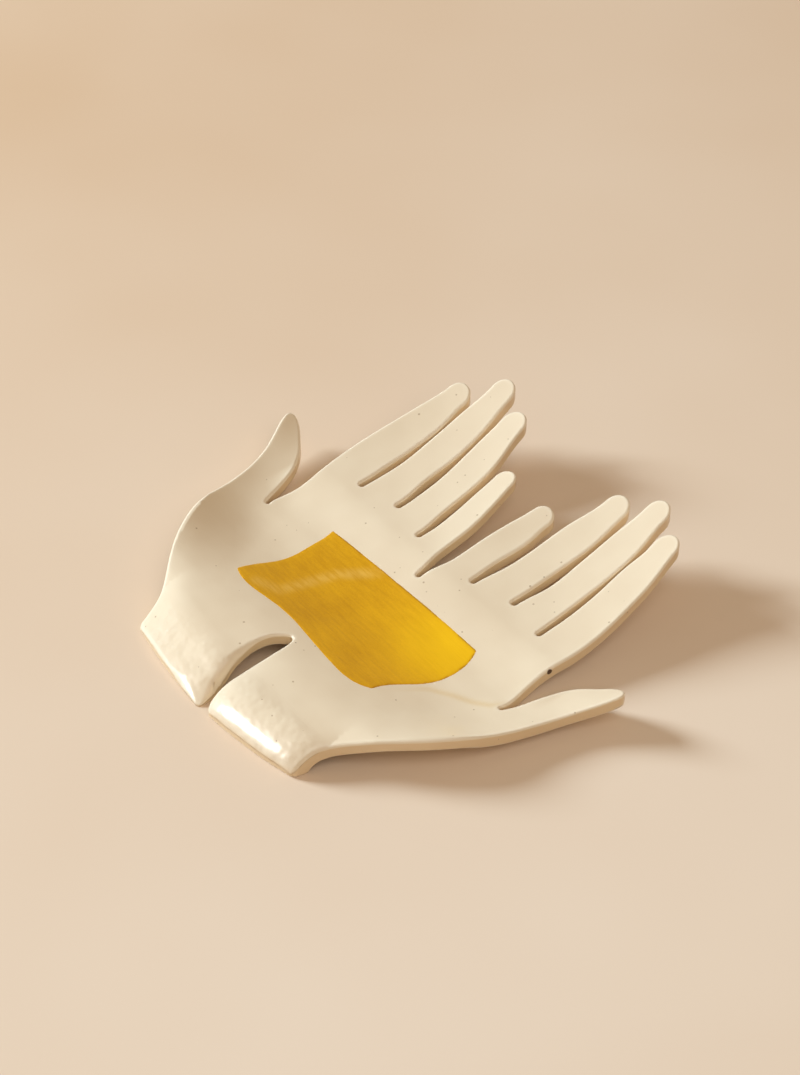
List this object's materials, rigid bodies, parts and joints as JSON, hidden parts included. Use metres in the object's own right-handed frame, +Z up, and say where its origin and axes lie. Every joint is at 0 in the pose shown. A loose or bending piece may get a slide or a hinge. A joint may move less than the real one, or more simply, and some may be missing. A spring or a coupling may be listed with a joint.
{
  "type": "ceramic hands dish",
  "caption": "Shallow dish in the shape of two open hands joined along the palms, with curled fingers and a painted panel across the palms.",
  "frame": {"origin": "centre of the outline, on the table under the dish", "axes": "+Z up, +Y towards the fingertips, +X towards the thumb of the right-hand side; the joint between the hands lies on the YZ plane"},
  "size_m": [0.1924, 0.1776, 0.0294],
  "materials": {
    "cream_glaze": "warm cream glaze with fine iron speckles, semi-gloss",
    "mustard_glaze": "brushed mustard glaze, semi-gloss"
  },
  "bodies": {
    "root": {"left_hand": "cream_glaze", "right_hand": "cream_glaze", "seam_coil": "cream_glaze", "mustard_glaze_panel": "mustard_glaze"}
  },
  "joints": []
}
